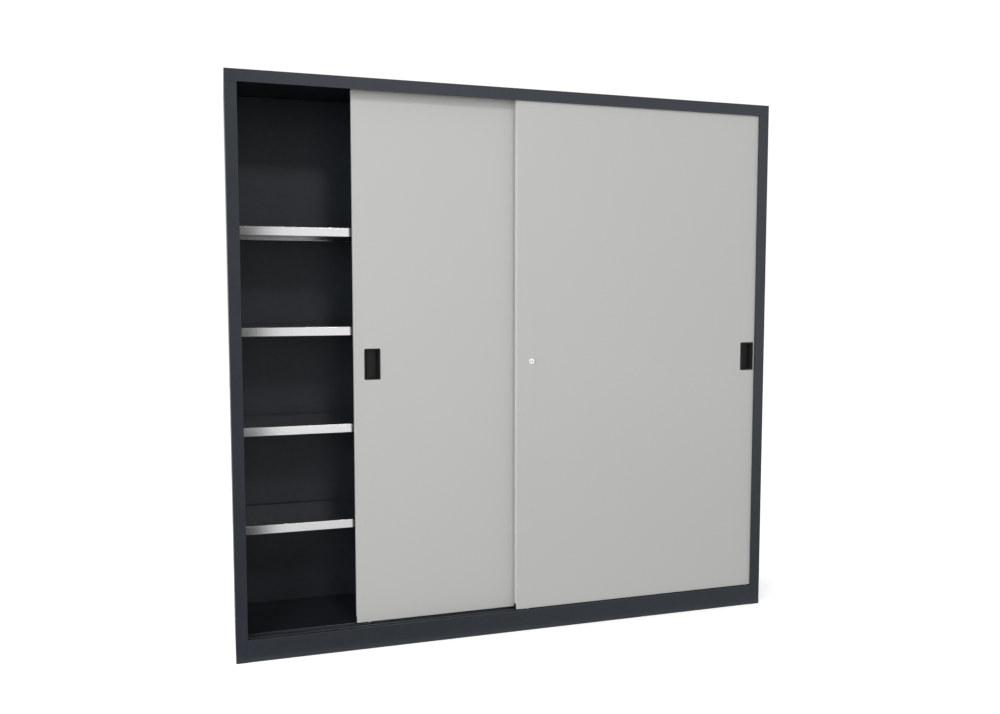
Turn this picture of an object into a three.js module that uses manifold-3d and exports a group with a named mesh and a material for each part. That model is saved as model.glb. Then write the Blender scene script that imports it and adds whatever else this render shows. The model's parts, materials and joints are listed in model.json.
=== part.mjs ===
// Sliding door cabinet in folded sheet steel: carcass, two bypass doors, shelves, push lock.
// Millimetres. +X to the right, +Y into the cabinet, +Z up. Inside this file depth is measured
// from the front plane (y = 0); the exported group shifts it, so that the origin is at the
// bottom centre of the cabinet.
import * as THREE from 'three';
import { mergeVertices } from 'three/addons/utils/BufferGeometryUtils.js';
import Module from 'manifold-3d';

const wasm = await Module();
wasm.setup();

// ---------------------------------------------------------------- driving dimensions
const WIDTH = 2000;
const HEIGHT = 1950;
const DEPTH = 420;
const HALF = WIDTH / 2;
const SHEET = 1;            // carcass, doors, shelves
const BACK_SHEET = 0.8;
const GAP = 0.3;            // between touching pieces
const CORNER_GAP = 1;       // where a piece reaches into another one's rounded inside bend
const BEND = 2.2;           // outer bend radius
const STILE = 40;           // face width of the front stiles
const STILE_RETURN = 8;     // their inner return
const HEADER = 40;          // height of the header and of the top panel's skirts
const PLINTH = 77;          // plinth height
const FLOOR_TOP = 62;       // top of the floor panel

const DOOR_W = 1005;
const DOOR_BOTTOM = 78;
const DOOR_TOP = 1922;
const DOOR_DEPTH = 22;
const DOOR_LIP = 14;        // rear return of the side flanges
const CORNER_NOTCH = 19;    // side flange cut away above the bottom corner
const FRONT_FACE_Y = 10;    // face of the front door
const REAR_FACE_Y = 47.5;   // face of the rear door
const FRONT_DOOR_X = -14;   // left edge of the front door, closed
const REAR_DOOR_X = -590;   // left edge of the rear door, 401 mm right of closed

const RIB_LOCAL_Y = 12;     // rib, roller and top guide centre, behind the door's face
const RIB_W = 6;
const RIB_TOP = 77;
const TRACK_TOP = 69;       // valleys of the bottom track
const ROLLER_ROOT_R = 9;    // groove radius, the rolling radius
const ROLLER_FLANGE_R = 12.5;
const ROLLER_W = 12;
const AXLE_R = 3;
const AXLE_Z = RIB_TOP + GAP + ROLLER_ROOT_R;
const ROLLER_INSET = 45;    // roller centre from the door's edge

const HANDLE_W = 55.5;
const HANDLE_H = 108;
const HANDLE_INSET = 35;
const HANDLE_Z = 989;
const HANDLE_PROUD = 1.4;
const HANDLE_DEEP = 15;
const HANDLE_FRAME = 6;     // width of the frame round the recess
const HANDLE_GROOVE = 17;   // deep part, from the handle's right edge

const LOCK_X = 57;          // from the front door's left edge
const LOCK_Z = 989;
const LOCK_TRAVEL = 6;

const SHELF_TOPS = [438, 778, 1118, 1459];
const SHELF_LIP = 30;
const SHELF_FRONT = 100;
const SHELF_BACK = 410;
const PARTITION_HALF = 10;

// ---------------------------------------------------------------- solids
const X = new THREE.Vector3(1, 0, 0);
const Y = new THREE.Vector3(0, 1, 0);
const Z = new THREE.Vector3(0, 0, 1);

function solid(geometry) {
  const bare = geometry.clone();
  for (const name of Object.keys(bare.attributes)) if (name !== 'position') bare.deleteAttribute(name);
  const merged = mergeVertices(bare, 1e-4);
  const position = merged.attributes.position.array;
  let tris = Array.from(merged.index.array);
  const kept = [];
  let volume = 0;
  for (let i = 0; i < tris.length; i += 3) {
    const [a, b, c] = [tris[i], tris[i + 1], tris[i + 2]];
    if (a === b || b === c || a === c) continue;
    kept.push(a, b, c);
    const p = [a, b, c].map((k) => new THREE.Vector3(position[3 * k], position[3 * k + 1], position[3 * k + 2]));
    volume += p[0].dot(p[1].clone().cross(p[2])) / 6;
  }
  if (volume < 0) for (let i = 0; i < kept.length; i += 3) [kept[i + 1], kept[i + 2]] = [kept[i + 2], kept[i + 1]];
  return new wasm.Manifold(new wasm.Mesh({
    numProp: 3, vertProperties: new Float32Array(position), triVerts: new Uint32Array(kept),
  }));
}

function box(x0, x1, y0, y1, z0, z1) {
  const g = new THREE.BoxGeometry(x1 - x0, y1 - y0, z1 - z0);
  g.translate((x0 + x1) / 2, (y0 + y1) / 2, (z0 + z1) / 2);
  return solid(g);
}

// A cylinder along Y.
function rod(x, z, r, y0, y1, n = 32) {
  const g = new THREE.CylinderGeometry(r, r, y1 - y0, n);
  g.translate(x, (y0 + y1) / 2, z);
  return solid(g);
}

// A closed profile of [radius, y] points, turned about the Y axis through (x, z).
function turned(x, z, profile, n = 32) {
  const points = profile.concat([profile[0]]).map(([r, y]) => new THREE.Vector2(r, y));
  const g = new THREE.LatheGeometry(points, n);
  g.translate(x, 0, z);
  return solid(g);
}

// An outline drawn in one plane and run straight along the third axis.
function prism(points, plane, from, to) {
  const shape = new THREE.Shape(points.map(([a, b]) => new THREE.Vector2(a, b)));
  const g = new THREE.ExtrudeGeometry(shape, { depth: to - from, bevelEnabled: false, steps: 1 });
  const m = new THREE.Matrix4();
  if (plane === 'xy') m.makeBasis(X, Y, Z).setPosition(0, 0, from);
  if (plane === 'yz') m.makeBasis(Y, Z, X).setPosition(from, 0, 0);
  if (plane === 'xz') m.makeBasis(X, Z, Y.clone().negate()).setPosition(0, to, 0);
  g.applyMatrix4(m);
  return solid(g);
}

// The outline of a sheet that follows a path with rounded bends. The path is the sheet's left-hand
// surface seen along the way, and the sheet's thickness lies to the right of it.
function folded(path, t, r = BEND, segments = 3) {
  const left = [];
  const right = [];
  const unit = (p, q) => { const d = Math.hypot(q[0] - p[0], q[1] - p[1]); return [(q[0] - p[0]) / d, (q[1] - p[1]) / d]; };
  const put = (p, n, side) => { left.push(p); right.push([p[0] + n[0] * t, p[1] + n[1] * t]); return side; };
  const rightOf = (d) => [d[1], -d[0]];
  put(path[0], rightOf(unit(path[0], path[1])));
  for (let i = 1; i < path.length - 1; i++) {
    const d1 = unit(path[i - 1], path[i]);
    const d2 = unit(path[i], path[i + 1]);
    const turn = d1[0] * d2[1] - d1[1] * d2[0];       // > 0 turns left
    const angle = Math.acos(Math.max(-1, Math.min(1, d1[0] * d2[0] + d1[1] * d2[1])));
    const near = turn > 0 ? Math.max(r - t, 0.25) : r;  // radius on the path's side
    const far = turn > 0 ? near + t : near - t;
    const back = near * Math.tan(angle / 2);
    const s = turn > 0 ? -1 : 1;                      // the centre is right (+) or left (-)
    const n1 = rightOf(d1).map((v) => v * s);
    const centre = [path[i][0] - d1[0] * back + n1[0] * near, path[i][1] - d1[1] * back + n1[1] * near];
    for (let k = 0; k <= segments; k++) {
      const a = (k / segments) * angle * (turn > 0 ? 1 : -1);
      const u = [-n1[0] * Math.cos(a) + n1[1] * Math.sin(a), -n1[0] * Math.sin(a) - n1[1] * Math.cos(a)];
      left.push([centre[0] + u[0] * near, centre[1] + u[1] * near]);
      right.push([centre[0] + u[0] * far, centre[1] + u[1] * far]);
    }
  }
  const end = path.length - 1;
  put(path[end], rightOf(unit(path[end - 1], path[end])));
  return left.concat(right.reverse());
}

function roundedOutline(a0, a1, b0, b1, r, segments = 3) {
  const points = [];
  const corners = [[a1 - r, b0 + r, -90], [a1 - r, b1 - r, 0], [a0 + r, b1 - r, 90], [a0 + r, b0 + r, 180]];
  for (const [ca, cb, start] of corners) {
    for (let k = 0; k <= segments; k++) {
      const a = THREE.MathUtils.degToRad(start + (90 * k) / segments);
      points.push([ca + r * Math.cos(a), cb + r * Math.sin(a)]);
    }
  }
  return points;
}

// A box with all its edges rounded.
function roundedBox(x0, x1, y0, y1, z0, z1, r, segments = 3) {
  const a = prism(roundedOutline(x0, x1, z0, z1, r, segments), 'xz', y0, y1);
  const b = prism(roundedOutline(y0, y1, z0, z1, r, segments), 'yz', x0, x1);
  const c = prism(roundedOutline(x0, x1, y0, y1, r, segments), 'xy', z0, z1);
  return a.intersect(b).intersect(c);
}

// ---------------------------------------------------------------- finishes
const finish = (color, roughness, metalness) => new THREE.MeshStandardMaterial({ color, roughness, metalness });
const anthracite = () => finish(0x373c42, 0.5, 0.0);
const lightGrey = () => finish(0xbabbb8, 0.45, 0.0);
const brightSheet = () => finish(0xc9cbcc, 0.28, 1.0);
const blackPlastic = () => finish(0x1c1c1d, 0.5, 0.0);
const chrome = () => finish(0xdcdde0, 0.12, 1.0);
const zinc = () => finish(0xb2b4b6, 0.35, 1.0);
const rubber = () => finish(0x202020, 0.9, 0.0);
const nylon = () => finish(0xd8d6cc, 0.5, 0.0);

const cabinet = new THREE.Group();
const carcass = new THREE.Group();
const rearDoor = new THREE.Group();
const frontDoor = new THREE.Group();
cabinet.add(carcass, rearDoor, frontDoor);
cabinet.position.y = -DEPTH / 2;
rearDoor.position.set(REAR_DOOR_X, REAR_FACE_Y, 0);
frontDoor.position.set(FRONT_DOOR_X, FRONT_FACE_Y, 0);

function place(group, name, body, material) {
  const m = body.getMesh();
  const geometry = new THREE.BufferGeometry();
  const count = m.vertProperties.length / m.numProp;
  const position = new Float32Array(count * 3);
  for (let i = 0; i < count; i++) for (let k = 0; k < 3; k++) position[3 * i + k] = m.vertProperties[m.numProp * i + k];
  geometry.setAttribute('position', new THREE.BufferAttribute(position, 3));
  geometry.setIndex(new THREE.BufferAttribute(new Uint32Array(m.triVerts), 1));
  geometry.computeVertexNormals();
  const mesh = new THREE.Mesh(geometry, material);
  mesh.name = name;
  group.add(mesh);
  return mesh;
}

// ---------------------------------------------------------------- carcass
const SIDE_TOP = HEIGHT - HEADER - GAP;
const BEHIND_DOORS = 84;     // nothing of the carcass stands inwards in front of this depth

// Side panel: stile return, stile, wall and rear flange folded from one sheet.
function sidePanel(sign) {
  const path = [
    [-(HALF - STILE), STILE_RETURN], [-(HALF - STILE), 0], [-HALF, 0], [-HALF, DEPTH], [-(HALF - 30), DEPTH],
  ];
  let body = prism(folded(path, SHEET), 'xy', 0, SIDE_TOP);
  body = body.add(box(-HALF + 0.5, -HALF + 25, BEHIND_DOORS, DEPTH - 2.4, SIDE_TOP - SHEET, SIDE_TOP));
  return sign < 0 ? body : body.mirror([1, 0, 0]);
}
place(carcass, 'side_left', sidePanel(-1), anthracite());
place(carcass, 'side_right', sidePanel(1), anthracite());

// Top panel: a shallow tray turned upside down, its front skirt is the header.
{
  const z0 = HEIGHT - HEADER;
  const outer = roundedBox(-HALF, HALF, 0, DEPTH, z0 - 20, HEIGHT, BEND);
  const inner = roundedBox(-HALF + SHEET, HALF - SHEET, SHEET, DEPTH - SHEET, z0 - 40, HEIGHT - SHEET, BEND - SHEET);
  let body = outer.subtract(inner).subtract(box(-HALF - 1, HALF + 1, -1, DEPTH + 1, z0 - 50, z0));
  body = body.add(box(-HALF + 2, HALF - 2, 0.6, STILE_RETURN, z0, z0 + SHEET));
  for (const s of [-1, 1]) {
    const [a, b] = s < 0 ? [-HALF + 0.5, -HALF + 22] : [HALF - 22, HALF - 0.5];
    body = body.add(box(a, b, BEHIND_DOORS, DEPTH - 6, z0, z0 + SHEET));
  }
  place(carcass, 'top_panel', body, anthracite());
}

// Plinth front between the stiles.
{
  const path = [[25, 0], [0, 0], [0, PLINTH], [8.5, PLINTH], [8.5, PLINTH - 7]];
  place(carcass, 'plinth_front', prism(folded(path, SHEET), 'yz', -(HALF - STILE - GAP), HALF - STILE - GAP), anthracite());
}

// Floor panel: a tray turned upside down, notched round the stile returns.
{
  const x = HALF - SHEET - GAP;
  const y0 = SHEET + GAP;
  const y1 = DEPTH - SHEET - GAP - BACK_SHEET - GAP;
  const outer = roundedBox(-x, x, y0, y1, 20, FLOOR_TOP, BEND);
  const inner = box(-x + SHEET, x - SHEET, y0 + SHEET, y1 - SHEET, 0, FLOOR_TOP - SHEET);
  let body = outer.subtract(inner).subtract(box(-x - 1, x + 1, 0, DEPTH, 0, 37));
  for (const s of [-1, 1]) {
    const [a, b] = s < 0 ? [-HALF - 1, -(HALF - STILE) + 0.8] : [HALF - STILE - 0.8, HALF + 1];
    body = body.subtract(box(a, b, 0, STILE_RETURN + 0.8, 0, FLOOR_TOP + 5));
  }
  place(carcass, 'floor_panel', body, anthracite());
}

// Bottom track: a hat-shaped rail with two hollow ribs, one under each door.
const RIBS = [FRONT_FACE_Y + RIB_LOCAL_Y, REAR_FACE_Y + RIB_LOCAL_Y];
{
  const path = [[8.8, FLOOR_TOP + GAP], [8.8, TRACK_TOP]];
  for (const y of RIBS) {
    path.push([y - RIB_W / 2, TRACK_TOP], [y - RIB_W / 2, RIB_TOP], [y + RIB_W / 2, RIB_TOP], [y + RIB_W / 2, TRACK_TOP]);
  }
  path.push([82, TRACK_TOP], [82, FLOOR_TOP + GAP]);
  place(carcass, 'bottom_track', prism(folded(path, SHEET, 2, 3), 'yz', -HALF + SHEET + GAP, HALF - SHEET - GAP), anthracite());
}

// Back panels, butted on the centre line.
for (const s of [-1, 1]) {
  const y1 = DEPTH - SHEET - GAP;
  const [a, b] = s < 0 ? [-HALF + SHEET + CORNER_GAP, -0.2] : [0.2, HALF - SHEET - CORNER_GAP];
  const body = box(a, b, y1 - BACK_SHEET, y1, 0, HEIGHT - SHEET - CORNER_GAP);
  place(carcass, s < 0 ? 'back_panel_left' : 'back_panel_right', body, anthracite());
}

// Centre partition: a slim double-skinned upright, open at its ends.
{
  const y0 = SHELF_FRONT - 4;
  const y1 = DEPTH - SHEET - GAP - BACK_SHEET - GAP;
  const z0 = FLOOR_TOP + GAP;
  const z1 = HEIGHT - SHEET - GAP;
  const outer = prism(roundedOutline(-PARTITION_HALF, PARTITION_HALF, y0, y1, BEND), 'xy', z0, z1);
  const inner = prism(roundedOutline(-PARTITION_HALF + SHEET, PARTITION_HALF - SHEET, y0 + SHEET, y1 - SHEET, BEND - SHEET), 'xy', z0 - 5, z1 + 5);
  place(carcass, 'centre_partition', outer.subtract(inner), anthracite());
}

// Top guide rail: a web under the top panel with two channels. A tab in each channel stops the
// top guides, so that neither door can cover the other one's handle.
const RAIL_BOTTOM = 1927;
const REAR_TRAVEL = 470;
const FRONT_TRAVEL = 872;
const TONGUE_OUT = 25;       // tongue of the outer top guide, from the door's edge
{
  const x = HALF - SHEET - CORNER_GAP;
  const web = HEIGHT - SHEET - GAP;
  let body = box(-x, x, 5, 76, web - 1.2, web);
  for (const y of RIBS) {
    for (const s of [-1, 1]) {
      const c = y + s * 6.2;
      body = body.add(box(-x, x, c - 0.6, c + 0.6, RAIL_BOTTOM, web - 0.5));
    }
  }
  const frontStop = FRONT_DOOR_X + TONGUE_OUT - FRONT_TRAVEL - 0.4;
  const rearStop = REAR_DOOR_X + DOOR_W - TONGUE_OUT + REAR_TRAVEL + 0.4;
  body = body.add(box(frontStop - 3, frontStop, RIBS[0] - 6, RIBS[0] + 6, 1929, web - 0.5));
  body = body.add(box(rearStop, rearStop + 3, RIBS[1] - 6, RIBS[1] + 6, 1929, web - 0.5));
  place(carcass, 'top_guide_rail', body, zinc());
}

// Rubber buffers that the closed doors meet.
for (const s of [-1, 1]) {
  const face = s < 0 ? REAR_FACE_Y : FRONT_FACE_Y;
  const [a, b] = s < 0 ? [-HALF + SHEET + GAP, -HALF + 8.7] : [HALF - 8.7, HALF - SHEET - GAP];
  place(carcass, s < 0 ? 'buffer_left' : 'buffer_right',
    roundedBox(a, b, face + 4, face + 18, HANDLE_Z - 20, HANDLE_Z + 20, 1.2, 2), rubber());
}

// Shelves and the rails that carry their ends.
const BAYS = { left: [-HALF + SHEET, -PARTITION_HALF], right: [PARTITION_HALF, HALF - SHEET] };
for (const [bay, [a, b]] of Object.entries(BAYS)) {
  SHELF_TOPS.forEach((top, i) => {
    const n = i + 1;
    const [x0, x1] = [a + 2, b - 2];
    const outer = roundedBox(x0, x1, SHELF_FRONT, SHELF_BACK, top - SHELF_LIP - 20, top, BEND);
    const inner = box(x0 + SHEET, x1 - SHEET, SHELF_FRONT + SHEET, SHELF_BACK - SHEET, top - SHELF_LIP - 40, top - SHEET);
    let body = outer.subtract(inner).subtract(box(x0 - 1, x1 + 1, SHELF_FRONT - 1, SHELF_BACK + 1, top - SHELF_LIP - 50, top - SHELF_LIP));
    body = body.add(box(x0 + 2, x1 - 2, SHELF_FRONT + 0.5, SHELF_FRONT + 12, top - SHELF_LIP, top - SHELF_LIP + SHEET));
    body = body.add(box(x0 + 2, x1 - 2, SHELF_BACK - 12, SHELF_BACK - 0.5, top - SHELF_LIP, top - SHELF_LIP + SHEET));
    place(carcass, `shelf_${bay}_${n}`, body, brightSheet());
    const under = top - SHELF_LIP - GAP;
    for (const end of ['outer', 'inner']) {
      const onLeft = (bay === 'left') === (end === 'outer');
      const wall = onLeft ? a + GAP : b - GAP;
      const s = onLeft ? 1 : -1;
      const path = [[wall, under - 20], [wall, under], [wall + s * 14, under]];
      const outline = onLeft ? folded(path, 1.2) : folded(path.slice().reverse(), 1.2);
      place(carcass, `shelf_rail_${bay}_${end}_${n}`, prism(outline, 'xz', SHELF_FRONT + 14, SHELF_BACK - 14), zinc());
    }
  });
}

// ---------------------------------------------------------------- doors (local: x from the door's left edge, y behind its face)
function handleSpan(side) {
  return side === 'left' ? [HANDLE_INSET, HANDLE_INSET + HANDLE_W] : [DOOR_W - HANDLE_INSET - HANDLE_W, DOOR_W - HANDLE_INSET];
}

function doorPan(handleSide, lockHole) {
  const outer = roundedBox(0, DOOR_W, 0, DOOR_DEPTH + 20, DOOR_BOTTOM, DOOR_TOP, BEND);
  const inner = roundedBox(SHEET, DOOR_W - SHEET, SHEET, DOOR_DEPTH + 40, DOOR_BOTTOM + SHEET, DOOR_TOP - SHEET, BEND - SHEET);
  let body = outer.subtract(inner).subtract(box(-1, DOOR_W + 1, DOOR_DEPTH, DOOR_DEPTH + 60, 0, HEIGHT));
  for (const s of [0, 1]) {
    const [a, b] = s ? [DOOR_W - DOOR_LIP, DOOR_W - 0.5] : [0.5, DOOR_LIP];
    body = body.add(box(a, b, DOOR_DEPTH - SHEET, DOOR_DEPTH, DOOR_BOTTOM + 2, DOOR_TOP - 2));
    const [c, d] = s ? [DOOR_W - 16, DOOR_W + 1] : [-1, 16];
    body = body.subtract(box(c, d, 3, DOOR_DEPTH + 1, DOOR_BOTTOM - 1, DOOR_BOTTOM + CORNER_NOTCH));
    const roller = s ? DOOR_W - ROLLER_INSET : ROLLER_INSET;
    body = body.subtract(box(roller - 15, roller + 15, RIB_LOCAL_Y - 7, RIB_LOCAL_Y + 7, DOOR_BOTTOM - 1, DOOR_BOTTOM + 2));
    const tongue = s ? [DOOR_W - 65, DOOR_W - TONGUE_OUT] : [TONGUE_OUT, 65];
    body = body.subtract(box(tongue[0] - 0.6, tongue[1] + 0.6, RIB_LOCAL_Y - 5.6, RIB_LOCAL_Y + 5.6, DOOR_TOP - 2, DOOR_TOP + 1));
  }
  const [h0, h1] = handleSpan(handleSide);
  body = body.subtract(prism(roundedOutline(h0 + 2.4, h1 - 2.4, HANDLE_Z - HANDLE_H / 2 + 2.4, HANDLE_Z + HANDLE_H / 2 - 2.4, 3), 'xz', -1, 2));
  if (lockHole) body = body.subtract(rod(LOCK_X, LOCK_Z, 8.4, -1, 2, 32));
  return body;
}

// Recessed pull: a frame on the face and a cup through it. The cup's floor slopes from its shallow
// left side down to a deep groove at the right, where the fingertips push.
function handleCup(side) {
  const [a, b] = handleSpan(side);
  const z0 = HANDLE_Z - HANDLE_H / 2;
  const z1 = HANDLE_Z + HANDLE_H / 2;
  const bezel = prism(roundedOutline(a, b, z0, z1, 3.2, 4), 'xz', -HANDLE_PROUD, -GAP);
  const cup = prism(roundedOutline(a + 2.8, b - 2.8, z0 + 2.8, z1 - 2.8, 2.6), 'xz', -GAP - 0.5, HANDLE_DEEP);
  const mouth = prism(roundedOutline(a + HANDLE_FRAME, b - HANDLE_FRAME, z0 + HANDLE_FRAME, z1 - HANDLE_FRAME, 2), 'xz', -10, HANDLE_DEEP + 5);
  const floor = [
    [a, -10], [b, -10], [b, HANDLE_DEEP - 2], [b - HANDLE_GROOVE, HANDLE_DEEP - 2], [a + HANDLE_FRAME, 5], [a, 5],
  ];
  return bezel.add(cup).subtract(mouth.intersect(prism(floor, 'xy', z0, z1)));
}

// Roller carriage: a moulded block in the door's bottom corner with a pocket, a pin and a nose
// that shows in the notch of the side flange.
function carriage(right) {
  const yc = RIB_LOCAL_Y;
  let body = box(1.4, 72, 1.8, DOOR_DEPTH - SHEET - GAP, DOOR_BOTTOM + SHEET + GAP, 112);
  body = body.subtract(box(ROLLER_INSET - 14, ROLLER_INSET + 14, yc - 6.4, yc + 6.4, 0, AXLE_Z + 14));
  body = body.add(rod(ROLLER_INSET, AXLE_Z, AXLE_R, yc - 8, yc + 8, 24));
  body = body.add(box(-3, 2, 4, 18, DOOR_BOTTOM + SHEET + GAP, DOOR_BOTTOM + CORNER_NOTCH - 1.5));
  // clear of the rounded inside corner of the pan
  body = body.subtract(box(0, 3, 0, 3, DOOR_BOTTOM, 130));
  return right ? body.mirror([1, 0, 0]).translate([DOOR_W, 0, 0]) : body;
}

// Grooved roller that sits on the rib.
function roller(right) {
  const x = right ? DOOR_W - ROLLER_INSET : ROLLER_INSET;
  const yc = RIB_LOCAL_Y;
  const w = ROLLER_W / 2;
  const g = 3.5;               // half the groove
  const bore = AXLE_R + 0.1;
  return turned(x, AXLE_Z, [
    [bore, yc - w], [ROLLER_FLANGE_R - 1, yc - w], [ROLLER_FLANGE_R, yc - w + 1], [ROLLER_FLANGE_R - 0.4, yc - g - 0.3],
    [ROLLER_ROOT_R, yc - g], [ROLLER_ROOT_R, yc + g],
    [ROLLER_FLANGE_R - 0.4, yc + g + 0.3], [ROLLER_FLANGE_R, yc + w - 1], [ROLLER_FLANGE_R - 1, yc + w], [bore, yc + w],
  ], 24);
}

function topGuide(right) {
  const yc = RIB_LOCAL_Y;
  let body = box(20, 70, 3, DOOR_DEPTH - SHEET - GAP, DOOR_TOP - 14, DOOR_TOP - SHEET - GAP);
  body = body.add(box(TONGUE_OUT, 65, yc - 5, yc + 5, DOOR_TOP - 6, DOOR_TOP + 12));
  return right ? body.mirror([1, 0, 0]).translate([DOOR_W, 0, 0]) : body;
}

// Hat-shaped stiffener behind the face.
function stiffener() {
  const c = DOOR_W / 2;
  const y = SHEET + GAP + SHEET;
  const path = [[c + 35, y], [c + 18, y], [c + 18, 20], [c - 18, 20], [c - 18, y], [c - 35, y]].reverse();
  return prism(folded(path, SHEET), 'xy', DOOR_BOTTOM + 12, DOOR_TOP - 12);
}

for (const [label, group, side, locked] of [['rear_door', rearDoor, 'left', false], ['front_door', frontDoor, 'right', true]]) {
  place(group, `${label}_pan`, doorPan(side, locked), lightGrey());
  place(group, `${label}_stiffener`, stiffener(), zinc());
  place(group, `${label}_handle`, handleCup(side), blackPlastic());
  for (const right of [false, true]) {
    const end = right ? 'right' : 'left';
    place(group, `${label}_carriage_${end}`, carriage(right), blackPlastic());
    place(group, `${label}_roller_${end}`, roller(right), nylon());
    place(group, `${label}_top_guide_${end}`, topGuide(right), blackPlastic());
  }
}

// ---------------------------------------------------------------- lock
const SHOULDER_Y = 6.5;      // end of the push barrel's head, start of its stem (local to the front door)
const SLEEVE_Y = 20;         // inner end of the housing's bore
{
  // Housing: flange on the face, sleeve through it, rear wall with a hole for the stem.
  place(frontDoor, 'lock_housing', turned(LOCK_X, LOCK_Z, [
    [6.15, -2.6], [9.2, -2.6], [10, -1.9], [10, -GAP], [8, -GAP], [8, SLEEVE_Y + 1.5], [4.2, SLEEVE_Y + 1.5], [4.2, SLEEVE_Y], [6.15, SLEEVE_Y],
  ], 32), chrome());
  // Nut behind the face.
  const hex = [];
  for (let k = 0; k < 6; k++) hex.push([LOCK_X + 12.7 * Math.cos((k * Math.PI) / 3), LOCK_Z + 12.7 * Math.sin((k * Math.PI) / 3)]);
  place(frontDoor, 'lock_nut', prism(hex, 'xz', SHEET + GAP, SHEET + GAP + 3.5).subtract(rod(LOCK_X, LOCK_Z, 8.35, 0, 8, 32)), zinc());
  // Push barrel: head with the plug's bore, stem that is the bolt.
  const barrel = turned(LOCK_X, LOCK_Z, [
    [3.35, -8.2], [5.4, -8.2], [6, -7.5], [6, SHOULDER_Y], [4, SHOULDER_Y], [4, 24.6], [3.2, 25.6], [0.9, 25.6], [0.9, 4.5], [3.35, 4.5],
  ], 32);
  place(frontDoor, 'lock_barrel', barrel, chrome());
  // Key plug with its keyway.
  const plug = rod(LOCK_X, LOCK_Z, 3.25, -8.0, 4.2, 24).subtract(box(LOCK_X - 0.55, LOCK_X + 0.55, -9, 1, LOCK_Z - 2.2, LOCK_Z + 2.2));
  place(frontDoor, 'lock_key_plug', plug, zinc());
  // Return spring round the stem.
  const turns = 5;
  const steps = 14 * turns;
  const y0 = SHOULDER_Y + 0.8;
  const y1 = SLEEVE_Y - 0.8;
  const points = [];
  for (let k = 0; k <= steps; k++) {
    const a = (2 * Math.PI * k) / 14;
    points.push(new THREE.Vector3(LOCK_X + 5.05 * Math.cos(a), y0 + ((y1 - y0) * k) / steps, LOCK_Z + 5.05 * Math.sin(a)));
  }
  const wire = new THREE.Shape();
  for (let k = 0; k < 6; k++) {
    const a = (k * Math.PI) / 3;
    if (k === 0) wire.moveTo(0.45 * Math.cos(a), 0.45 * Math.sin(a)); else wire.lineTo(0.45 * Math.cos(a), 0.45 * Math.sin(a));
  }
  const coil = new THREE.ExtrudeGeometry(wire, { steps, bevelEnabled: false, extrudePath: new THREE.CatmullRomCurve3(points) });
  place(frontDoor, 'lock_spring', solid(coil), zinc());
}

// Keeper on the rear door's right edge: joggled forward and reaching past the edge to the bolt.
{
  const foot = -1.8;           // face of the foot, ahead of the door's face
  const plate = 37 - REAR_FACE_Y;
  const closedX = -(HALF - 9);                 // rear door's left edge when closed
  const holeX = FRONT_DOOR_X + LOCK_X - closedX;
  const path = [[holeX + 15, plate], [DOOR_W + 2, plate], [DOOR_W + 2, foot], [DOOR_W - 30, foot]];
  const body = prism(folded(path, 1.5, 2.2, 2), 'xy', LOCK_Z - 20, LOCK_Z + 20).subtract(rod(holeX, LOCK_Z, 5, plate - 2, plate + 4, 24));
  place(rearDoor, 'lock_keeper', body, zinc());
}

export default cabinet;
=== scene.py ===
import json
import math

import bpy
import bmesh
from mathutils import Matrix, Vector


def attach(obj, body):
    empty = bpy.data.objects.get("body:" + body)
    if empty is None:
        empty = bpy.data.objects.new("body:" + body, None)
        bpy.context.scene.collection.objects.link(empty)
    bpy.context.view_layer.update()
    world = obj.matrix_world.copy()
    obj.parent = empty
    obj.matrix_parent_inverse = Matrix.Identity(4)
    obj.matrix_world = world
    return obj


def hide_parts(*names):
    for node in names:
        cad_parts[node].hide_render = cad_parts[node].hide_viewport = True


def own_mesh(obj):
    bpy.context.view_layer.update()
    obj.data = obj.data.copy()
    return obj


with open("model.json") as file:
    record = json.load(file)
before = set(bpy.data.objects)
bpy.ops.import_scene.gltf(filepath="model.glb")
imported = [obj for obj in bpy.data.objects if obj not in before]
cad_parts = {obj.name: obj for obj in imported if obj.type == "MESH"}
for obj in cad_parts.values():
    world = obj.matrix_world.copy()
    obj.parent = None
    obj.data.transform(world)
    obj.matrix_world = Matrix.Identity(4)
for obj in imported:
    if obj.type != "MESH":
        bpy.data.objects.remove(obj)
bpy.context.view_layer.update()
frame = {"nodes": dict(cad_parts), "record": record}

nodes = frame["nodes"]
scene = bpy.context.scene

MM = 0.001
DEPTH_SHIFT = -0.210      # the front plane's y in the row frame
FRONT_FACE = 0.010 + DEPTH_SHIFT
REAR_FACE = 0.0475 + DEPTH_SHIFT
FRONT_X = -0.014          # left edge of the front door
REAR_X = -0.590           # left edge of the rear door
DOOR_W = 1.005
HANDLE_Z = 0.989


# ---------------------------------------------------------------- camera, light, floor
def make_camera():
    data = bpy.data.cameras.new("camera")
    data.sensor_fit = "HORIZONTAL"
    data.sensor_width = 36.0
    data.lens = 897.57 * 36.0 / 1000.0
    data.clip_start = 0.05
    data.clip_end = 200.0
    cam = bpy.data.objects.new("camera", data)
    scene.collection.objects.link(cam)
    cam.location = (-1.0190, -3.2499, 1.2383)
    cam.rotation_euler = (math.radians(85.854), 0.0, math.radians(-17.169))
    scene.camera = cam
    return cam


def area_light(name, where, target, size_x, size_y, power):
    data = bpy.data.lights.new(name, "AREA")
    data.shape = "RECTANGLE"
    data.size, data.size_y = size_x, size_y
    data.energy = power
    obj = bpy.data.objects.new(name, data)
    scene.collection.objects.link(obj)
    obj.location = where
    obj.rotation_euler = (Vector(target) - Vector(where)).to_track_quat("-Z", "Y").to_euler()
    obj.visible_camera = False
    return obj


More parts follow.
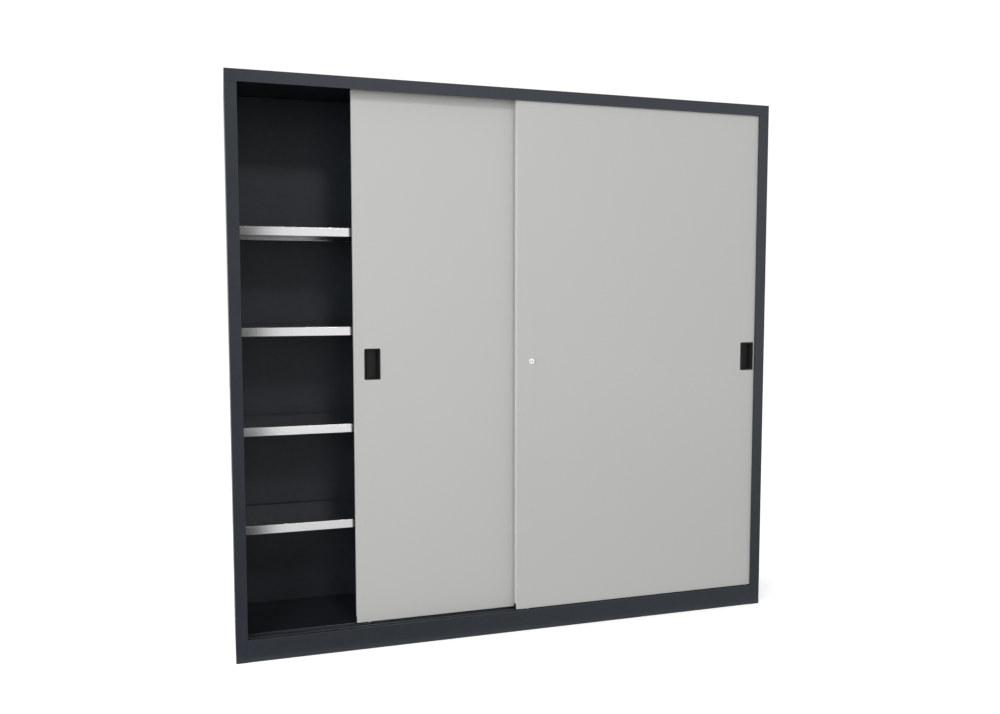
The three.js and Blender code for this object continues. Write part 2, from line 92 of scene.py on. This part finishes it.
def make_world():
    """A white studio behind the cabinet and to its left, dimmer overhead and to its right, dark behind the camera."""
    world = bpy.data.worlds.new("studio")
    scene.world = world
    world.use_nodes = True
    tree = world.node_tree
    tree.nodes.clear()
    out = tree.nodes.new("ShaderNodeOutputWorld")
    back = tree.nodes.new("ShaderNodeBackground")
    back.inputs["Color"].default_value = (1, 1, 1, 1)
    coord = tree.nodes.new("ShaderNodeTexCoord")
    split = tree.nodes.new("ShaderNodeSeparateXYZ")
    tree.links.new(coord.outputs["Generated"], split.inputs[0])

    def zone(axis, start, end, low, high):
        node = tree.nodes.new("ShaderNodeMapRange")
        node.interpolation_type = "SMOOTHSTEP"
        for key, value in (("From Min", start), ("From Max", end), ("To Min", low), ("To Max", high)):
            node.inputs[key].default_value = value
        tree.links.new(split.outputs[axis], node.inputs["Value"])
        return node.outputs["Result"]

    total = zone("Y", 0.0, 0.4, 0.0, WORLD_BACK)
    for part in (
        zone("X", -0.65, -0.35, WORLD_LEFT, 0.0),
        zone("X", 0.35, 0.65, 0.0, WORLD_RIGHT),
        zone("Z", 0.5, 0.8, 0.0, WORLD_TOP),
        zone("Z", -0.3, -0.05, WORLD_BELOW, 0.0),
    ):
        add = tree.nodes.new("ShaderNodeMath")
        add.operation = "ADD"
        tree.links.new(total, add.inputs[0])
        tree.links.new(part, add.inputs[1])
        total = add.outputs[0]
    # The backdrop itself is plain white from every side.
    path = tree.nodes.new("ShaderNodeLightPath")
    pick = tree.nodes.new("ShaderNodeMix")
    pick.data_type = "FLOAT"
    pick.inputs[3].default_value = 1.03
    tree.links.new(path.outputs["Is Camera Ray"], pick.inputs[0])
    tree.links.new(total, pick.inputs[2])
    tree.links.new(pick.outputs[0], back.inputs["Strength"])
    tree.links.new(back.outputs[0], out.inputs["Surface"])


WORLD_BACK = 0.80
WORLD_LEFT = 1.02
WORLD_RIGHT = 0.60
WORLD_TOP = 0.16
WORLD_BELOW = 0.0

scene.view_settings.view_transform = "Standard"
scene.view_settings.look = "None"
scene.view_settings.exposure = 0.0
scene.view_settings.gamma = 1.0

make_camera()
make_world()
area_light("key", (0.527, -7.73, 6.0), (0.0, -0.2, 1.1), 1.3, 1.0, 160)
area_light("left", (-6.5, -1.3, 2.3), (0.0, -0.2, 1.1), 3.0, 3.6, 5.2 * math.pi * 3.0 * 3.6)
left_soft = area_light("left_soft", (-4.5, -5.0, 2.3), (0.0, -0.2, 1.1), 3.0, 3.6, 7.4 * math.pi * 3.0 * 3.6)
left_soft.visible_glossy = False

# The white wall that the cabinet faces, in overlapping lamps. The first only lights it softly;
# the others are what its gloss shows, and fade out at the left.
for name, x0, x1, z0, z1, y, radiance, soft in (
    ("wall_low", -2.0, 6.0, 0.1, 2.2, -6.00, 2.32, True),
    ("gloss_main", -0.66, 7.5, 0.0, 5.2, -6.00, 0.63, False),
    ("gloss_edge", -0.52, 7.5, 0.0, 5.2, -5.99, 0.17, False),
    ("gloss_middle", 0.9, 7.5, 0.0, 5.2, -5.98, 0.70, False),
    ("gloss_right", 3.6, 7.5, 0.0, 5.2, -5.97, 0.25, False),
):
    x, z, wide, tall = (x0 + x1) / 2, (z0 + z1) / 2, x1 - x0, z1 - z0
    lamp = area_light(name, (x, y, z), (x, 0.0, z), wide, tall, radiance * math.pi * wide * tall)
    lamp.visible_glossy = not soft
    lamp.visible_diffuse = soft


# ---------------------------------------------------------------- materials
class Build:
    """A material's node tree, with short calls for the nodes that the finishes share."""

    def __init__(self, name):
        self.mat = bpy.data.materials.new(name)
        self.mat.use_nodes = True
        self.tree = self.mat.node_tree
        self.tree.nodes.clear()
        self.out = self.add("ShaderNodeOutputMaterial")
        self.bsdf = self.add("ShaderNodeBsdfPrincipled")
        self.tree.links.new(self.bsdf.outputs[0], self.out.inputs["Surface"])
        self.coord = self.add("ShaderNodeTexCoord")

    def add(self, kind, **values):
        node = self.tree.nodes.new(kind)
        for key, value in values.items():
            setattr(node, key, value)
        return node

    def link(self, a, b):
        self.tree.links.new(a, b)

    def noise(self, scale, detail=3.0, roughness=0.55, stretch=None):
        node = self.add("ShaderNodeTexNoise")
        node.inputs["Scale"].default_value = scale
        node.inputs["Detail"].default_value = detail
        node.inputs["Roughness"].default_value = roughness
        source = self.coord.outputs["Object"]
        if stretch:
            mapping = self.add("ShaderNodeMapping")
            mapping.inputs["Scale"].default_value = stretch
            self.link(source, mapping.inputs["Vector"])
            source = mapping.outputs["Vector"]
        self.link(source, node.inputs["Vector"])
        return node.outputs["Fac"]

    def spread(self, value, low, high, from_min=0.3, from_max=0.7):
        node = self.add("ShaderNodeMapRange")
        node.inputs["From Min"].default_value = from_min
        node.inputs["From Max"].default_value = from_max
        node.inputs["To Min"].default_value = low
        node.inputs["To Max"].default_value = high
        self.link(value, node.inputs["Value"])
        return node.outputs["Result"]

    def mix(self, factor, a, b):
        node = self.add("ShaderNodeMix", data_type="RGBA")
        for value, socket in ((a, node.inputs[6]), (b, node.inputs[7])):
            if isinstance(value, tuple):
                socket.default_value = (*value, 1.0)
            else:
                self.link(value, socket)
        if isinstance(factor, float):
            node.inputs[0].default_value = factor
        else:
            self.link(factor, node.inputs[0])
        return node.outputs[2]

    def worn_and_highlit_edges(self, start=0.53, end=0.62):
        # Pointiness picks out the convex edges. Each finish lightens them there, partly as rubbed wear and partly as a
        # painted highlight.
        geometry = self.add("ShaderNodeNewGeometry")
        return self.spread(geometry.outputs["Pointiness"], 0.0, 1.0, start, end)

    def product(self, a, b):
        node = self.add("ShaderNodeMath", operation="MULTIPLY")
        self.link(a, node.inputs[0])
        if isinstance(b, float):
            node.inputs[1].default_value = b
        else:
            self.link(b, node.inputs[1])
        return node.outputs[0]

    def bump(self, height, strength, distance, base=None):
        node = self.add("ShaderNodeBump")
        node.inputs["Strength"].default_value = strength
        node.inputs["Distance"].default_value = distance
        self.link(height, node.inputs["Height"])
        if base is not None:
            self.link(base, node.inputs["Normal"])
        return node.outputs["Normal"]


def powder_coat(name, colour, variation, roughness, specular, peel):
    """Satin powder coat: a faint cloudiness, an orange-peel ripple, and edges lightened partly as rubbed wear and
    partly as a painted highlight.
    """
    b = Build(name)
    dark = tuple(c * (1 - variation) for c in colour)
    light = tuple(c * (1 + variation) for c in colour)
    cloud = b.noise(2.3, 3.0)
    body = b.mix(b.spread(cloud, 0.0, 1.0), dark, light)
    # Lighter colour on the edges: partly rubbed paint, partly a painted highlight.
    rubbed_highlit = tuple(min(1.0, c * 1.25 + 0.012) for c in colour)
    edge = b.product(b.worn_and_highlit_edges(), b.spread(b.noise(60.0, 4.0), 0.0, 0.55))
    b.link(b.mix(edge, body, rubbed_highlit), b.bsdf.inputs["Base Color"])
    b.link(b.spread(b.noise(9.0, 4.0), roughness - 0.03, roughness + 0.03), b.bsdf.inputs["Roughness"])
    b.bsdf.inputs["Specular IOR Level"].default_value = specular
    ripple = b.bump(b.noise(420.0, 2.0), peel, 0.00012)
    b.link(b.bump(b.noise(2600.0, 2.0), peel * 0.6, 0.00004, ripple), b.bsdf.inputs["Normal"])
    return b.mat


def sheet_metal(name, colour, roughness, anisotropy, spangle):
    """Bright galvanised or plated sheet: soft cloudy streaks, a faint spangle, and edges lightened partly as rubbed
    wear and partly as a painted highlight.
    """
    b = Build(name)
    streak = b.noise(9.0, 3.0, 0.5, stretch=(1.0, 1.0, 0.15))
    cells = b.add("ShaderNodeTexVoronoi", feature="F1")
    cells.inputs["Scale"].default_value = 85.0
    b.link(b.coord.outputs["Object"], cells.inputs["Vector"])
    grain = b.add("ShaderNodeSeparateColor")
    b.link(cells.outputs["Color"], grain.inputs[0])
    low = tuple(c * (1 - spangle) for c in colour)
    high = tuple(min(1.0, c * (1 + spangle)) for c in colour)
    plate = b.mix(b.spread(grain.outputs[0], 0.0, 1.0, 0.0, 1.0), low, high)
    body = b.mix(b.spread(streak, 0.0, 0.35), plate, tuple(c * 0.95 for c in colour))
    # Lighter colour on the edges: partly rubbed metal, partly a painted highlight.
    edge = b.product(b.worn_and_highlit_edges(), b.spread(b.noise(14.0, 2.0), 0.1, 0.4))
    b.link(b.mix(edge, body, tuple(min(1.0, c * 1.06) for c in colour)), b.bsdf.inputs["Base Color"])
    b.bsdf.inputs["Metallic"].default_value = 1.0
    b.link(b.spread(streak, roughness * 0.94, roughness * 1.06), b.bsdf.inputs["Roughness"])
    b.bsdf.inputs["Anisotropic"].default_value = anisotropy
    b.link(b.bump(b.noise(900.0, 2.0), 0.010, 0.00002), b.bsdf.inputs["Normal"])
    return b.mat


def moulded(name, colour, roughness, grain, specular):
    """Moulded plastic: eroded grain, dull patches, and lighter edges, partly polished by hands and partly a painted
    highlight.
    """
    b = Build(name)
    body = b.mix(b.spread(b.noise(35.0, 3.0), 0.0, 1.0), tuple(c * 0.85 for c in colour), tuple(c * 1.2 for c in colour))
    # Lighter colour on the edges: partly polish from handling, partly a painted highlight.
    edge = b.product(b.worn_and_highlit_edges(), b.spread(b.noise(120.0, 3.0), 0.1, 0.8))
    b.link(b.mix(edge, body, tuple(c * 1.7 + 0.004 for c in colour)), b.bsdf.inputs["Base Color"])
    b.link(b.spread(b.noise(220.0, 3.0), roughness - 0.05, roughness + 0.05), b.bsdf.inputs["Roughness"])
    b.bsdf.inputs["Specular IOR Level"].default_value = specular
    b.link(b.bump(b.noise(1700.0, 3.0), grain, 0.00008), b.bsdf.inputs["Normal"])
    return b.mat


def polished(name, colour, roughness, metallic):
    """Bright satin plating: fine polishing lines and a haze of handling marks."""
    b = Build(name)
    haze = b.noise(260.0, 4.0)
    body = b.mix(b.spread(haze, 0.0, 1.0), tuple(c * 0.95 for c in colour), colour)
    # Lighter colour on the edges: partly rubbed plating, partly a painted highlight.
    edge = b.product(b.worn_and_highlit_edges(), b.spread(b.noise(400.0, 2.0), 0.0, 0.6))
    b.link(b.mix(edge, body, tuple(min(1.0, c * 1.1) for c in colour)), b.bsdf.inputs["Base Color"])
    b.bsdf.inputs["Metallic"].default_value = metallic
    b.link(b.spread(haze, roughness - 0.03, roughness + 0.05), b.bsdf.inputs["Roughness"])
    b.link(b.bump(b.noise(3000.0, 2.0), 0.04, 0.00003), b.bsdf.inputs["Normal"])
    return b.mat


MATERIALS = {
    "anthracite_paint": powder_coat("anthracite_paint_look", (0.0162, 0.0198, 0.0254), 0.05, 0.40, 0.32, 0.12),
    "track_paint": powder_coat("track_paint_look", (0.0162, 0.0198, 0.0254), 0.05, 0.20, 0.50, 0.04),
    "light_grey_paint": powder_coat("light_grey_paint_look", (0.435, 0.439, 0.427), 0.006, 0.50, 0.35, 0.10),
    "bright_sheet": sheet_metal("bright_sheet_look", (0.90, 0.90, 0.91), 0.11, 0.15, 0.008),
    "zinc": sheet_metal("zinc_look", (0.55, 0.56, 0.575), 0.34, 0.0, 0.06),
    "chrome": polished("chrome_look", (0.88, 0.88, 0.885), 0.20, 0.72),
    "black_plastic": moulded("black_plastic_look", (0.0045, 0.0045, 0.0042), 0.44, 0.35, 0.22),
    "nylon": moulded("nylon_look", (0.60, 0.585, 0.53), 0.42, 0.12, 0.5),
    "rubber": moulded("rubber_look", (0.018, 0.018, 0.018), 0.75, 0.5, 0.3),
}
SLOT_OF = {s["node"]: s["material_slot"] for s in frame["record"]["subparts"]}
SLOT_OF["bottom_track"] = "track_paint"     # the same paint, rubbed smooth by the rollers


# ---------------------------------------------------------------- CAD nodes that stay
def dress(name, bevel=0.35, angle=40.0, segments=2):
    """Gives a CAD node its finish, and softens its edges without touching its mesh."""
    obj = nodes[name]
    mesh = obj.data
    if mesh.attributes.get("custom_normal"):
        mesh.attributes.remove(mesh.attributes["custom_normal"])
    for key in ("sharp_edge", "sharp_face"):
        if mesh.attributes.get(key):
            mesh.attributes.remove(mesh.attributes[key])
    mesh.polygons.foreach_set("use_smooth", [True] * len(mesh.polygons))
    mesh.materials.clear()
    mesh.materials.append(MATERIALS[SLOT_OF[name]])
    weld = obj.modifiers.new("weld", "WELD")
    weld.merge_threshold = 1e-5
    flat = obj.modifiers.new("flat", "DECIMATE")
    flat.decimate_type = "DISSOLVE"
    flat.angle_limit = math.radians(0.6)
    if bevel:
        soft = obj.modifiers.new("soft", "BEVEL")
        soft.width = bevel * MM
        soft.segments = segments
        soft.limit_method = "ANGLE"
        soft.angle_limit = math.radians(angle)
        soft.miter_outer = "MITER_ARC"
        soft.use_clamp_overlap = True
    normal = obj.modifiers.new("normal", "WEIGHTED_NORMAL")
    normal.weight = 90
    return obj


# ---------------------------------------------------------------- mesh helpers
def row(x, y, z):
    """A point in millimetres, with y from the cabinet's front plane, in the row frame."""
    return Vector((x * MM, y * MM + DEPTH_SHIFT, z * MM))


def rounded_path(points, radius, steps=3):
    """A closed profile with its corners rounded off."""
    out = []
    count = len(points)
    for i in range(count):
        p, a, b = (Vector(points[k % count]) for k in (i, i - 1, i + 1))
        u, v = a - p, b - p
        reach = 0.45 * min(u.length, v.length)
        u.normalize()
        v.normalize()
        angle = u.angle(v)
        if angle > math.pi - 0.06:
            out.append(p)
            continue
        cut = min(radius / math.tan(angle / 2), reach)
        s, e = p + u * cut, p + v * cut
        for k in range(steps + 1):
            t = k / steps
            out.append(s * (1 - t) ** 2 + p * (2 * t * (1 - t)) + e * t * t)
    return out


def bridge(bm, loops, wrap=False):
    """Quads from each loop of points to the next, and from the last back to the first if wrap."""
    rows = [[bm.verts.new(p) for p in loop] for loop in loops]
    pairs = list(zip(rows, rows[1:])) + ([(rows[-1], rows[0])] if wrap else [])
    for a, b in pairs:
        for i in range(len(a)):
            j = (i + 1) % len(a)
            bm.faces.new((a[i], a[j], b[j], b[i]))
    return rows


def turned(bm, cx, cy, cz, profile, n=64, radius=0.25, steps=3):
    """A ring section of [radius, depth] points in millimetres, turned about the Y axis."""
    section = rounded_path(profile, radius, steps)
    loops = []
    for r, y in section:
        loops.append([
            row(cx + r * math.cos(2 * math.pi * k / n), cy + y, cz + r * math.sin(2 * math.pi * k / n))
            for k in range(n)
        ])
    bridge(bm, loops, wrap=True)


def build_piece(name, bm, slot, body, stands_for=(), angle=32.0):
    bmesh.ops.recalc_face_normals(bm, faces=bm.faces)
    mesh = bpy.data.meshes.new(name)
    bm.to_mesh(mesh)
    bm.free()
    mesh.polygons.foreach_set("use_smooth", [True] * len(mesh.polygons))
    mesh.set_sharp_from_angle(angle=math.radians(angle))
    mesh.materials.append(MATERIALS[slot])
    obj = bpy.data.objects.new(name, mesh)
    scene.collection.objects.link(obj)
    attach(obj, body)
    if stands_for:
        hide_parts(*stands_for)
    return obj


# ---------------------------------------------------------------- recessed handles
# The recess in section, in millimetres: distance from the handle's left edge, depth behind the face.
# It falls from a lead-in at the left to a groove, and a ribbed grip rises from there to the frame.
RECESS = [
    (6.0, 0.0), (9.5, 4.6), (24.0, 8.7), (38.5, 12.4), (43.4, 13.4), (44.5, 11.4), (45.0, 11.7),
    (46.1, 9.0), (46.6, 9.3), (47.5, 7.2), (49.5, 5.0),
]
KINKS = [x for x, _ in RECESS[1:-1]]


def recess_depth(x):
    if x <= RECESS[0][0]:
        return RECESS[0][1]
    for (xa, ya), (xb, yb) in zip(RECESS, RECESS[1:]):
        if x <= xb:
            return ya + (yb - ya) * (x - xa) / (xb - xa)
    return RECESS[-1][1]


def handle_loop(inset, radius, width, height, corner=6):
    """A rounded rectangle as (x, z), with a point on both long ends at each kink of the recess."""
    x0, x1, z0, z1 = inset, width - inset, inset - height / 2, height / 2 - inset
    inner = [min(max(k, x0 + radius + 0.02), x1 - radius - 0.02) for k in KINKS]
    points = [(x, z0) for x in inner]
    for cx, cz, start in ((x1 - radius, z0 + radius, -90), (x1 - radius, z1 - radius, 0)):
        points += [(cx + radius * math.cos(math.radians(start + 90 * k / corner)),
                    cz + radius * math.sin(math.radians(start + 90 * k / corner))) for k in range(corner + 1)]
    points += [(x, z1) for x in reversed(inner)]
    for cx, cz, start in ((x0 + radius, z1 - radius, 90), (x0 + radius, z0 + radius, 180)):
        points += [(cx + radius * math.cos(math.radians(start + 90 * k / corner)),
                    cz + radius * math.sin(math.radians(start + 90 * k / corner))) for k in range(corner + 1)]
    return points


def make_handle(name, body, node, left_x, face_y):
    """left_x and face_y in millimetres: the handle's left edge and the door's face."""
    width, height = 55.5, 108.0
    bm = bmesh.new()
    loops = []

    def put(inset, radius, depth):
        loops.append([
            row(left_x + x, face_y + (recess_depth(x) + depth[0] if isinstance(depth, tuple) else depth), HANDLE_Z / MM + z)
            for x, z in handle_loop(inset, radius, width, height)
        ])

    put(3.9, 1.6, 15.0)
    put(3.2, 2.2, 14.85)
    put(2.8, 2.6, 14.3)
    put(2.8, 2.6, -0.28)
    put(0.10, 4.25, -0.28)
    put(0.0, 4.3, -0.42)
    put(0.0, 4.3, -0.85)
    put(0.12, 4.2, -1.12)
    put(0.40, 4.0, -1.32)
    put(0.80, 3.7, -1.40)
    put(4.60, 1.6, -1.40)
    put(5.20, 1.45, -1.32)
    put(5.65, 1.35, -1.08)
    put(5.90, 1.3, -0.70)
    put(6.0, 1.3, -0.2)
    put(6.12, 1.3, (-0.75,))
    put(6.35, 1.2, (-0.25,))
    put(6.80, 1.0, (0.0,))
    rows = bridge(bm, loops)
    bm.faces.new(rows[0])
    # The floor: a strip between each pair of kinks, and an end each side.
    last, n = rows[-1], len(KINKS)
    corner = 7
    top = [n + 2 * corner + (n - 1 - i) for i in range(n)]
    for i in range(n - 1):
        bm.faces.new((last[i], last[i + 1], last[top[i + 1]], last[top[i]]))
    bm.faces.new([last[k] for k in range(n - 1, top[n - 1] + 1)])
    bm.faces.new([last[k] for k in range(top[0], len(last))] + [last[0]])
    return build_piece(name, bm, "black_plastic", body, (node,), angle=28.0)


make_handle("handle_look_rear", "rear_door", "rear_door_handle", -590 + 35, 47.5)
make_handle("handle_look_front", "front_door", "front_door_handle", -14 + 1005 - 35 - 55.5, 10.0)


# ---------------------------------------------------------------- push lock
LOCK = (43.0, 10.0, 989.0)


def make_lock():
    bm = bmesh.new()
    turned(bm, *LOCK, [
        (6.15, -2.45), (6.45, -2.75), (9.0, -2.75), (9.75, -2.3), (10.0, -1.6), (10.0, -0.3), (8.0, -0.3),
        (8.0, 21.5), (4.2, 21.5), (4.2, 20.0), (6.15, 20.0),
    ], n=80, radius=0.3, steps=3)
    build_piece("lock_look_housing", bm, "chrome", "front_door", ("lock_housing",))

    bm = bmesh.new()
    turned(bm, *LOCK, [
        (3.35, -8.05), (3.5, -8.2), (5.65, -8.2), (6.0, -7.8), (6.0, 6.5), (4.0, 6.5), (4.0, 24.6), (3.2, 25.6),
        (0.9, 25.6), (0.9, 4.5), (3.35, 4.5),
    ], n=72, radius=0.22, steps=3)
    build_piece("lock_look_barrel", bm, "chrome", "lock_barrel", ("lock_barrel",))

    # Key plug: a stepped face round a keyway with rounded ends and a side ward.
    cx, cy, cz = LOCK
    n = 64
    ring = [2 * math.pi * (k + 0.5) / n for k in range(n)]

    def circle(r, y):
        return [row(cx + r * math.cos(a), cy + y, cz + r * math.sin(a)) for a in ring]

    def keyway(grow, y):
        points = []
        for a in ring:
            dx, dz = math.cos(a), math.sin(a)
            half_w = 1.0 + grow + (0.25 if abs(dz) < 0.35 and dx > 0 else 0.0)
            half_h = 2.65 + grow
            t = min(half_w / abs(dx), half_h / abs(dz))
            points.append(row(cx + t * dx, cy + y, cz + t * dz))
        return points

    bm = bmesh.new()
    rows = bridge(bm, [
        circle(3.25, 4.2), circle(3.25, -7.75), circle(3.19, -7.90), circle(3.08, -8.0), circle(2.82, -8.0),
        keyway(0.14, -7.98), keyway(0.04, -7.92), keyway(0.0, -7.75), keyway(0.0, 0.9),
    ])
    bm.faces.new(rows[0])
    bm.faces.new(rows[-1])
    build_piece("lock_look_plug", bm, "zinc", "lock_key_plug", ("lock_key_plug",))


make_lock()


def make_spring():
    """The lock's return spring, with closed end coils, between the barrel's shoulder and the housing."""
    cx, cy, cz = LOCK
    turns, per, sides, coil, wire = 5, 24, 10, 5.05, 0.45
    first, last = 7.3, 19.2

    def ease(t):
        t = min(max(t, 0.0), 1.0)
        return t * t * (3 - 2 * t)

    pitch = [0.95 + 2.4 * ease((k / per - 0.4) / 0.7) * ease((turns - 0.4 - k / per) / 0.7) for k in range(turns * per)]
    low = 0.95 * turns
    share = (last - first - low) / (sum(pitch) / per - low)
    y, bm, loops = first, bmesh.new(), []
    for k in range(turns * per + 1):
        a = 2 * math.pi * k / per
        loop = []
        for i in range(sides):
            t = 2 * math.pi * i / sides
            r = coil + wire * math.cos(t)
            loop.append(row(cx + r * math.cos(a), cy + y + wire * math.sin(t), cz + r * math.sin(a)))
        loops.append(loop)
        if k < turns * per:
            y += (0.95 + (pitch[k] - 0.95) * share) / per
    rows = bridge(bm, loops)
    bm.faces.new(rows[0])
    bm.faces.new(rows[-1])
    spring = build_piece("lock_look_spring", bm, "zinc", "front_door", ("lock_spring",))
    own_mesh(spring)


make_spring()


# ---------------------------------------------------------------- rollers
def make_roller(door, end, x, y):
    bm = bmesh.new()
    turned(bm, x, y, 77.0 + 0.3 + 9.0, [
        (3.1, -6.0), (5.0, -6.0), (5.5, -5.1), (9.6, -5.1), (10.0, -6.0), (11.5, -6.0), (12.5, -5.0), (12.1, -3.8),
        (9.0, -3.5), (9.0, 3.5), (12.1, 3.8), (12.5, 5.0), (11.5, 6.0), (10.0, 6.0), (9.6, 5.1), (5.5, 5.1),
        (5.0, 6.0), (3.1, 6.0),
    ], n=72, radius=0.35, steps=2)
    node = f"{door}_door_roller_{end}"
    build_piece(f"roller_look_{door}_{end}", bm, "nylon", node, (node,))


for door, left, face in (("rear", -590.0, 47.5), ("front", -14.0, 10.0)):
    make_roller(door, "left", left + 45.0, face + 12.0)
    make_roller(door, "right", left + 960.0, face + 12.0)

for name in nodes:
    if nodes[name].hide_render:
        continue
    if "carriage" in name or "top_guide" in name:
        dress(name, bevel=0.5, segments=3)
    else:
        dress(name)


# ---------------------------------------------------------------- small carcass details
def soft_bar(bm, x0, x1, y0, y1, z0, z1, r=0.4, steps=3):
    """A bar along Z with its four long edges and both ends rounded."""
    def outline(inset):
        points = []
        for cx, cy, start in ((x1, y0, -90), (x1, y1, 0), (x0, y1, 90), (x0, y0, 180)):
            sx = -1 if cx == x1 else 1
            sy = -1 if cy == y1 else 1
            for k in range(steps + 1):
                a = math.radians(start + 90 * k / steps)
                q = max(r - inset, 0.02)
                points.append((cx + sx * r + q * math.cos(a), cy + sy * r + q * math.sin(a)))
        return points

    loops = []
    for k in range(steps + 1):
        a = math.radians(90 * k / steps)
        loops.append([row(x, y, z0 + r * (1 - math.sin(a))) for x, y in outline(r * (1 - math.cos(math.radians(90) - a)))])
    for k in range(steps, -1, -1):
        a = math.radians(90 * k / steps)
        loops.append([row(x, y, z1 - r * (1 - math.sin(a))) for x, y in outline(r * (1 - math.cos(math.radians(90) - a)))])
    rows = bridge(bm, loops)
    bm.faces.new(rows[0])
    bm.faces.new(rows[-1])


def rivet(bm, x, z, y=420.0, n=20):
    """A blind rivet's domed head on the rear flange, with its mandrel's end in the middle."""
    profile = [(0.55, 0.30), (0.62, 0.52), (1.2, 0.78), (2.0, 0.66), (2.7, 0.36), (3.1, 0.04), (3.1, -0.12)]
    loops = [[row(x + r * math.cos(2 * math.pi * k / n), y + h, z + r * math.sin(2 * math.pi * k / n)) for k in range(n)]
             for r, h in profile]
    rows = bridge(bm, loops)
    bm.faces.new(rows[0])
    bm.faces.new(rows[-1])


def make_details():
    # Dressed weld between each stile and the plinth: it fills the stile's rounded inner edge.
    bm = bmesh.new()
    for s in (-1, 1):
        a, b = sorted((s * 957.3, s * 960.6))
        soft_bar(bm, a, b, -0.10, 3.0, 0.6, 76.0, r=0.35)
    build_piece("plinth_weld_look", bm, "anthracite_paint", "carcass")

    bm = bmesh.new()
    for s in (-1, 1):
        for i in range(10):
            rivet(bm, s * 985.0, 95.0 + 195.0 * i)
    for i in range(13):
        rivet(bm, -900.0 + 150.0 * i, 1930.0)
    build_piece("back_rivets_look", bm, "anthracite_paint", "carcass")


make_details()


# ---------------------------------------------------------------- floor
def make_floor():
    bm = bmesh.new()
    bmesh.ops.create_grid(bm, x_segments=24, y_segments=24, size=30.0)
    mesh = bpy.data.meshes.new("studio_floor")
    bm.to_mesh(mesh)
    bm.free()
    floor = bpy.data.objects.new("studio_floor", mesh)
    scene.collection.objects.link(floor)
    b = Build("floor_look")
    b.link(b.mix(b.spread(b.noise(0.8, 2.0), 0.0, 1.0), (0.87, 0.87, 0.87), (0.89, 0.89, 0.89)), b.bsdf.inputs["Base Color"])
    b.bsdf.inputs["Roughness"].default_value = 0.9
    b.bsdf.inputs["Specular IOR Level"].default_value = 0.1
    b.bsdf.inputs["Emission Color"].default_value = (1, 1, 1, 1)
    b.bsdf.inputs["Emission Strength"].default_value = 0.42
    mesh.materials.append(b.mat)
    floor.visible_diffuse = False
    floor.visible_shadow = False
    return floor


def make_reflection_card(name, corners, tone=0.04, side=None, depth=None, glow=0.0):
    """A card that only reflections see, beside the camera or on the floor: its colour is a painted reflection for the
    glossy parts, and it neither lights nor shades anything.

    side = (start, end, slant, pale) turns it pale to the right of a slanting line, a painted bright patch in the
    reflection;
    depth = (far, near, tone) dims the pale side away from the cabinet, a painted falloff in the reflection.
    """
    mesh = bpy.data.meshes.new(name)
    mesh.from_pydata([Vector(c) for c in corners], [], [(0, 1, 2, 3)])
    reflected_card = bpy.data.objects.new(name, mesh)
    scene.collection.objects.link(reflected_card)
    b = Build(name + "_look")
    colour = b.mix(b.spread(b.noise(6.0, 2.0), 0.0, 1.0), (tone * 0.95,) * 3, (tone * 1.05,) * 3)
    # The pale side and its dimming are painted brightness in what the glossy parts reflect.
    if side:
        start, end, slant, pale = side
        split = b.add("ShaderNodeSeparateXYZ")
        b.link(b.coord.outputs["Object"], split.inputs[0])
        line = b.add("ShaderNodeMath", operation="MULTIPLY_ADD")
        b.link(split.outputs["Y"], line.inputs[0])
        line.inputs[1].default_value = slant
        b.link(split.outputs["X"], line.inputs[2])
        light = (pale,) * 3
        if depth:
            light = b.mix(b.spread(split.outputs["Y"], 0.0, 1.0, depth[0], depth[1]), (depth[2],) * 3, light)
        colour = b.mix(b.spread(line.outputs[0], 0.0, 1.0, start, end), colour, light)
    b.link(colour, b.bsdf.inputs["Base Color"])
    # The glow is a painted reflection. Because the card is hidden from diffuse rays, it brightens only what glossy
    # surfaces show and lights nothing.
    if glow:
        b.link(colour, b.bsdf.inputs["Emission Color"])
        b.bsdf.inputs["Emission Strength"].default_value = glow
    b.bsdf.inputs["Roughness"].default_value = 1.0
    b.bsdf.inputs["Specular IOR Level"].default_value = 0.0
    mesh.materials.append(b.mat)
    reflected_card.visible_camera = False
    reflected_card.visible_shadow = False
    reflected_card.visible_diffuse = False
    return reflected_card


def on_floor(x0, x1, y0, y1, z):
    return ((x0, y0, z), (x1, y0, z), (x1, y1, z), (x0, y1, z))


make_floor()
# Reflection-only cards. The dark upright one, behind the gloss lamps, paints a dark reflection where the lamps end at
# the left. The two on the floor paint the floor's tone as reflections show it: pale to the right of a slanting line and
# dimmer away from the cabinet. The near one also glows.
make_reflection_card("reflection_card_upright", ((-2.4, -6.05, 0.02), (7.7, -6.05, 0.02), (7.7, -6.05, 5.3), (-2.4, -6.05, 5.3)))
make_reflection_card("reflection_card_floor", on_floor(-2.4, 4.0, -6.0, -0.9, 0.004), side=(-0.95, -0.83, 0.0429, 0.55), depth=(-5.2, -2.2, 0.38))
make_reflection_card("reflection_card_near", on_floor(-2.4, 2.0, -0.9, -0.235, 0.004), tone=0.20, side=(-1.1, 0.6, 0.0, 0.50), glow=0.30)
